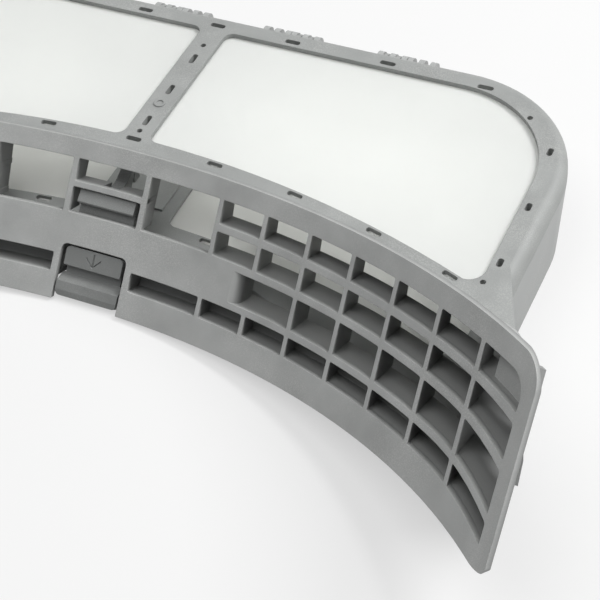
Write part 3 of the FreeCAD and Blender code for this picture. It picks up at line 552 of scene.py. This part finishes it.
def add_band_end(piece, hand):
    turns = [math.pi / 2 * step / BEND_STEPS for step in range(BEND_STEPS + 1)]
    centre = BAND_HALF - BAND_ROUND
    inner = BAND_ROUND - FACE_WALL
    section = [(centre + BAND_ROUND * math.sin(turn), BAND_ROUND * (1.0 - math.cos(turn))) for turn in turns]
    section += [(BAND_HALF, BAND_END_DEPTH), (BAND_HALF - FACE_WALL, BAND_END_DEPTH)]
    for turn in reversed(turns):
        section.append((centre + inner * math.sin(turn), BAND_ROUND - inner * math.cos(turn)))
    flat = bmesh.new()
    low = ROW_FEET[2] - BAND_OVERLAP
    high = ROW_TOPS[2] + BAND_OVERLAP
    base = flat.faces.new([flat.verts.new((x * hand, deep, low)) for x, deep in section])
    grown = bmesh.ops.extrude_face_region(flat, geom=[base], use_keep_orig=True)
    tips = [item for item in grown["geom"] if isinstance(item, bmesh.types.BMVert)]
    bmesh.ops.translate(flat, verts=tips, vec=(0.0, 0.0, high - low))
    add_bent(piece, flat)


print("the band ends turn in by %.1f mm" % (BAND_END_DEPTH * 1000))


# %% [markdown]
# ## Louvres, ribs and shelf
# The louvres run along the rows and the ribs stand between them. A plate closes the lowest row inside,
# two small plates close the upper outer corners, and a shelf spans the lane of the latch, with a slot
# for the hook. A boolean union could join the walls, but it is slow and often leaves thin faces. They
# simply overlap inside one mesh, and a wall that meets another is buried in it a little.

# %% Louvres, ribs and shelf
SHELF_DEPTH = 0.009
HOOK_SLOT_HALF = 0.0034
HOOK_SLOT_START = 0.0034
GUIDE_DEPTH = 0.0095
ROW4_DEPTH = 0.015
END_DEPTH = 0.0145
END_TOP = CROWN / 4
BURIED = 0.0006
FOOT_PLATE_NEAR = 0.0104
FOOT_PLATE_FAR = 0.0128
CORNER_PANEL = 0.0145
PANEL_DEPTH = 0.0045
# The corner plates get only this share of the painted shade.
PANEL_SHADE = 0.15


def add_louvres(piece):
    add_wall(piece, (GUIDE_INNER, STRIP), (ROW_TOPS[0], ROW_TOPS[0] + FACE_WALL))
    add_wall(piece, (RIB_START, STRIP), (ROW_TOPS[1], ROW_FEET[0]))
    add_wall(piece, (RIB_START, STRIP), (ROW_TOPS[2], ROW_FEET[1]))
    add_wall(piece, (GUIDE_INNER, STRIP), (ROW_TOPS[3], ROW_FEET[2]), far=ROW4_DEPTH)
    add_wall(piece, (GUIDE_INNER, STRIP), (ROW_FEET[3] - FACE_WALL, ROW_FEET[3]), far=ROW4_DEPTH)


def add_ribs(piece):
    for row, (top_level, foot_level) in enumerate(zip(ROW_TOPS, ROW_FEET)):
        levels = (foot_level - BURIED, top_level + BURIED)
        depth = ROW4_DEPTH if row == 3 else None
        for column in range(FIRST_OPEN_COLUMN if row == 2 else 0, RIB_COLUMNS):
            start = rib_left(column)
            add_wall(piece, (start, start + RIB_WALL), levels, far=depth, upright=True)


def add_lane(piece):
    """The guides, and the shelf between them with a slot for the hook."""
    add_wall(piece, (GUIDE_INNER, GUIDE_OUTER), (ROW_FEET[1], ROW_TOPS[0]), far=GUIDE_DEPTH, upright=True)
    add_wall(piece, (GUIDE_INNER, GUIDE_OUTER), (ROW_FEET[3], ROW_TOPS[3]), far=ROW4_DEPTH, upright=True)
    add_wall(piece, (-GUIDE_OUTER, GUIDE_OUTER), (SHELF_FOOT, SHELF_TOP), far=HOOK_SLOT_START, hands=(1,))
    beside_slot = (HOOK_SLOT_HALF, GUIDE_OUTER)
    add_wall(piece, beside_slot, (SHELF_FOOT, SHELF_TOP), near=HOOK_SLOT_START - BURIED, far=SHELF_DEPTH)


def add_closing_walls(piece):
    """The walls at both ends, the plate behind the lowest row and the two corner plates."""
    end_levels = (ROW_FEET[3] - FACE_WALL, END_TOP)
    add_wall(piece, (STRIP, STRIP + FACE_WALL), end_levels, far=END_DEPTH, upright=True)
    foot_levels = (ROW_FEET[3] - BURIED, ROW_TOPS[3] + BURIED)
    add_wall(piece, (GUIDE_OUTER, STRIP), foot_levels, near=FOOT_PLATE_NEAR, far=FOOT_PLATE_FAR)
    add_wall(piece, (STRIP - CORNER_PANEL, STRIP + BURIED), (ROW_FEET[0] - BURIED, END_TOP),
             near=PANEL_DEPTH, far=PANEL_DEPTH + FACE_WALL, painted_shade_share=PANEL_SHADE)


print("ribs on each hand, to a full row:", RIB_COLUMNS)


# %% [markdown]
# ## The assembled grille
# On the real filter the grille is one moulding, so all its walls go into one mesh and one object. They
# could stay separate objects under a parent, but then each would ride and be exported by itself.
# Smooth shading follows the curve of the drum, and edges that turn by more than 25 degrees stay sharp.

# %% Grille
SHARP_TURN = math.radians(25.0)

grille_bm = bmesh.new()
opening_count = add_face_plate(grille_bm)
for hand in (1, -1):
    add_band_end(grille_bm, hand)
add_louvres(grille_bm)
add_ribs(grille_bm)
add_lane(grille_bm)
add_closing_walls(grille_bm)
grille_mesh = bpy.data.meshes.new("louvred_grille")
grille_bm.to_mesh(grille_mesh)
grille_bm.free()
grille_mesh.materials.append(finishes["grille"])
for polygon in grille_mesh.polygons:
    polygon.use_smooth = True
grille_mesh.set_sharp_from_angle(angle=SHARP_TURN)
louvred_grille = bpy.data.objects.new("louvred_grille", grille_mesh)
bpy.context.scene.collection.objects.link(louvred_grille)
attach(louvred_grille, "base")
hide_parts("grille")
print("louvred grille: %d openings, %d faces" % (opening_count, len(grille_mesh.polygons)))
spots = [louvred_grille.matrix_world @ vert.co for vert in grille_mesh.vertices]
low, high = [[round(pick(spot[axis] for spot in spots), 5) for axis in range(3)] for pick in (min, max)]
print("box of the louvred grille:", low, high)


# %% [markdown]
# ## Mesh cloth
# Four panels of fine white mesh are moulded into the frames and catch the lint. The threads are far
# too fine to model one by one, and the photograph shows no single thread, so each panel is one thin
# sheet. Light goes through the real cloth and makes the pocket bright inside, which a plain white
# surface can't do. So this shader has three parts: threads that scatter the light back, threads that
# let it shine through, and open pores that show what is behind. Two crossed sets of bands give the
# weave as a bump.

# %% Mesh finish
BANDS_SCALE = 560.0
HAZE_SCALE = 14.0
HAZE_GAIN = 0.965
# Painted shade for the gaps between the threads.
PAINTED_PORE_SHADE = (0.6, 0.62, 0.6)
WEAVE_DEPTH = 0.0001


def woven_mesh(name, tone, through_share, pore_share):
    material, tree = start_material(name)
    place = add_node(tree, "ShaderNodeTexCoord")
    spot = place.outputs["Object"]
    warp = add_node(tree, "ShaderNodeTexWave", wave_type="BANDS", bands_direction="X")
    weft = add_node(tree, "ShaderNodeTexWave", wave_type="BANDS", bands_direction="Y")
    for bands in (warp, weft):
        bands.inputs["Scale"].default_value = BANDS_SCALE
        bands.inputs["Distortion"].default_value = 0.4
        join(tree, spot, bands.inputs["Vector"])
    threads = add_node(tree, "ShaderNodeMath", operation="MAXIMUM")
    join(tree, warp.outputs["Fac"], threads.inputs[0])
    join(tree, weft.outputs["Fac"], threads.inputs[1])

    haze = object_noise(tree, spot, HAZE_SCALE, detail=3.0, roughness=0.5)
    tone_mask = fit_range(tree, haze.outputs["Fac"], 0.3, 0.7, 0.0, 1.0)
    thread_colour = blend_colours(tree, tone_mask, scaled(tone, HAZE_GAIN), tone)
    # Painted shade: the gaps between the threads are made a little greyer.
    pore_shade_mask = fit_range(tree, threads.outputs[0], 0.2, 0.7, 0.06, 0.0)
    cloth_colour = blend_colours(tree, pore_shade_mask, thread_colour, PAINTED_PORE_SHADE)
    weave = relief(tree, threads.outputs[0], strength=0.2, depth=WEAVE_DEPTH)

    cloth = add_node(tree, "ShaderNodeBsdfPrincipled")
    cloth.inputs["Roughness"].default_value = 0.72
    cloth.inputs["Specular IOR Level"].default_value = 0.25
    cloth.inputs["Sheen Weight"].default_value = 0.12
    join(tree, cloth_colour, cloth.inputs["Base Color"])
    join(tree, weave, cloth.inputs["Normal"])
    through = add_node(tree, "ShaderNodeBsdfTranslucent")
    join(tree, cloth_colour, through.inputs["Color"])
    mix = add_node(tree, "ShaderNodeMixShader")
    mix.inputs["Fac"].default_value = through_share
    join(tree, cloth.outputs["BSDF"], mix.inputs[1])
    join(tree, through.outputs["BSDF"], mix.inputs[2])
    pores = add_node(tree, "ShaderNodeBsdfTransparent")
    open_weave = add_node(tree, "ShaderNodeMixShader")
    open_weave.inputs["Fac"].default_value = pore_share
    join(tree, mix.outputs["Shader"], open_weave.inputs[1])
    join(tree, pores.outputs["BSDF"], open_weave.inputs[2])
    output = add_node(tree, "ShaderNodeOutputMaterial")
    join(tree, open_weave.outputs["Shader"], output.inputs["Surface"])
    return material


UPPER_MESH_TONE = (0.94, 0.95, 0.935)
LOWER_MESH_TONE = (0.94, 0.94, 0.915)
upper_cloth = woven_mesh("upper_mesh_cloth", UPPER_MESH_TONE, through_share=0.5, pore_share=0.22)
lower_cloth = woven_mesh("lower_mesh_cloth", LOWER_MESH_TONE, through_share=0.2, pore_share=0.08)
print("cloth finishes:", upper_cloth.name, lower_cloth.name)


# %% [markdown]
# ## Mesh panels
# Each panel is stretched over its window and held round its edge by the frame, so it is nearly flat,
# with soft hollows where the cloth is a little slack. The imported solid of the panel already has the
# right outline. Its upper side is copied, its triangles are merged into one face, and cuts in both
# directions then give that face vertices to move. A plain grid would need trimming to the rounded
# window, and the solid itself is a stiff slab. The outer edge is marked sharp, because smooth shading
# round the thin rim would darken the long faces beside it.

# %% Mesh panels
CUT_PITCH = 0.008
CLOTH_THICKNESS = 0.0003
SLACK = 0.0004
SLACK_WIDTH = 0.93
SLACK_LENGTH = 0.78


def cloth_from(node_name):
    """The upper side of a panel's solid as a clean flat bmesh, cut into a grid."""
    bm = bmesh.new()
    bm.from_mesh(nodes[node_name].data)
    bmesh.ops.remove_doubles(bm, verts=bm.verts, dist=0.00001)
    bm.normal_update()
    hidden = [face for face in bm.faces if face.normal.z < 0.9]
    bmesh.ops.delete(bm, geom=hidden, context="FACES")
    bmesh.ops.dissolve_limit(bm, angle_limit=0.01, verts=bm.verts, edges=bm.edges)
    low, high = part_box(node_name)
    for axis in (0, 1):
        direction = Vector((1.0, 0.0, 0.0)) if axis == 0 else Vector((0.0, 1.0, 0.0))
        span = high[axis] - low[axis]
        steps = int(span / CUT_PITCH)
        for step in range(1, steps):
            spot = Vector(low)
            spot[axis] = low[axis] + span * step / steps
            bmesh.ops.bisect_plane(bm, geom=everything(bm), plane_co=spot, plane_no=direction, dist=0.000001)
    return bm, low, high


def panel_area(bm):
    return sum(face.calc_area() for face in bm.faces)


def make_panel(node_name, finish):
    bm, low, high = cloth_from(node_name)
    flat_area = panel_area(bm)
    middle = (low + high) / 2
    half = (high - low) / 2
    height = (low.z + high.z) / 2
    for vert in bm.verts:
        across = max(0.0, 1.0 - abs((vert.co.x - middle.x) / (half.x * SLACK_WIDTH)) ** 4)
        along = max(0.0, 1.0 - abs((vert.co.y - middle.y) / (half.y * SLACK_LENGTH)) ** 4)
        vert.co.z = height - SLACK * across * along
    for edge in bm.edges:
        edge.smooth = not edge.is_boundary
    mesh = bpy.data.meshes.new(node_name + "_cloth")
    bm.to_mesh(mesh)
    bm.free()
    mesh.materials.append(finish)
    for polygon in mesh.polygons:
        polygon.use_smooth = True
    panel = bpy.data.objects.new(node_name + "_cloth", mesh)
    bpy.context.scene.collection.objects.link(panel)
    wall = panel.modifiers.new("thickness", "SOLIDIFY")
    wall.thickness = CLOTH_THICKNESS
    wall.offset = 0.0
    bodies = frame["record"]["behaviour"]["bodies"]
    body = next(name for name, members in bodies.items() if node_name in members)
    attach(panel, body)
    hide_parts(node_name)


for hand in ("left", "right"):
    make_panel("upper_mesh_" + hand, upper_cloth)
    make_panel("lower_mesh_" + hand, lower_cloth)


# %% [markdown]
# ## Floor
# The filter lies on a white sweep of paper. The floor is one large plane that takes the soft shadow.
# More light would make it whiter, but the filter too. So its material shows the camera some white of
# its own, and the paper stays pale without more light falling on the filter.

# %% Floor
FLOOR_HALF = 4.0
PAPER_TONE = (0.66, 0.66, 0.657)
PAPER_GLOW = 0.55


def paper(name, tone, glow):
    material, tree = start_material(name)
    place = add_node(tree, "ShaderNodeTexCoord")
    fibre = object_noise(tree, place.outputs["Object"], scale=6.0, detail=2.0, roughness=0.5)
    colour = blend_colours(tree, fibre.outputs["Fac"], scaled(tone, 0.99), tone)
    diffuse = add_node(tree, "ShaderNodeBsdfDiffuse")
    join(tree, colour, diffuse.inputs["Color"])
    glow_node = add_node(tree, "ShaderNodeEmission")
    glow_node.inputs["Color"].default_value = (1.0, 1.0, 1.0, 1.0)
    rays = add_node(tree, "ShaderNodeLightPath")
    share = add_node(tree, "ShaderNodeMath", operation="MULTIPLY")
    share.inputs[1].default_value = glow
    join(tree, rays.outputs["Is Camera Ray"], share.inputs[0])
    mix = add_node(tree, "ShaderNodeMixShader")
    join(tree, share.outputs[0], mix.inputs["Fac"])
    join(tree, diffuse.outputs["BSDF"], mix.inputs[1])
    join(tree, glow_node.outputs["Emission"], mix.inputs[2])
    output = add_node(tree, "ShaderNodeOutputMaterial")
    join(tree, mix.outputs["Shader"], output.inputs["Surface"])
    return material


floor_bm = bmesh.new()
bmesh.ops.create_grid(floor_bm, x_segments=1, y_segments=1, size=FLOOR_HALF)
floor_mesh = bpy.data.meshes.new("floor")
floor_bm.to_mesh(floor_mesh)
floor_bm.free()
floor_mesh.materials.append(paper("white_paper", PAPER_TONE, PAPER_GLOW))
floor = bpy.data.objects.new("floor", floor_mesh)
bpy.context.scene.collection.objects.link(floor)
print("floor: %.0f m wide" % (FLOOR_HALF * 2))


# %% [markdown]
# ## Light
# In the photograph the faces that look up are the brightest, the openings of the grille are dark on
# the side that looks left, and the soft shadow falls to the front. So the main light is a big soft
# panel high up behind the filter and to its right, and a weaker one hangs above. A single small lamp
# would give hard shadows, which a product picture doesn't have.

# %% Light
def soft_panel(name, at, towards, width, power):
    lamp = bpy.data.lights.new(name, "AREA")
    lamp.shape = "SQUARE"
    lamp.size = width
    lamp.energy = power
    panel = bpy.data.objects.new(name, lamp)
    aim = (Vector(towards) - Vector(at)).to_track_quat("-Z", "Y")
    panel.matrix_world = Matrix.Translation(Vector(at)) @ aim.to_matrix().to_4x4()
    bpy.context.scene.collection.objects.link(panel)
    print("%s: %.0f W, %.1f m wide" % (name, power, width))


soft_panel("main_panel", at=(0.95, 0.6, 1.35), towards=(0.0, -0.05, 0.0), width=0.9, power=31.0)
soft_panel("top_panel", at=(-0.2, -0.35, 1.7), towards=(0.0, 0.0, 0.0), width=1.2, power=13.0)


# %% [markdown]
# ## White surroundings
# A studio has white walls that fill in the shadows and stand behind the filter. One background can't do
# both, because a white one would light the filter too much. So the world has two: a weak one that
# lights, and an almost white one for the camera and for light that shines through the mesh.

# %% Surroundings
FILL_STRENGTH = 0.26

world = bpy.data.worlds.new("studio")
bpy.context.scene.world = world
world.use_nodes = True
tree = world.node_tree
tree.nodes.clear()
rays = add_node(tree, "ShaderNodeLightPath")
seen = add_node(tree, "ShaderNodeMath", operation="MAXIMUM")
join(tree, rays.outputs["Is Camera Ray"], seen.inputs[0])
join(tree, rays.outputs["Is Transmission Ray"], seen.inputs[1])
fill = add_node(tree, "ShaderNodeBackground")
fill.inputs["Color"].default_value = (0.98, 0.99, 1.0, 1.0)
fill.inputs["Strength"].default_value = FILL_STRENGTH
backdrop = add_node(tree, "ShaderNodeBackground")
backdrop.inputs["Color"].default_value = (0.97, 0.97, 0.97, 1.0)
backdrop.inputs["Strength"].default_value = 1.0
choose = add_node(tree, "ShaderNodeMixShader")
join(tree, seen.outputs[0], choose.inputs["Fac"])
join(tree, fill.outputs["Background"], choose.inputs[1])
join(tree, backdrop.outputs["Background"], choose.inputs[2])
world_output = add_node(tree, "ShaderNodeOutputWorld")
join(tree, choose.outputs["Shader"], world_output.inputs["Surface"])
bpy.context.scene.view_settings.view_transform = "Standard"
print("strength of the world's fill light:", FILL_STRENGTH)
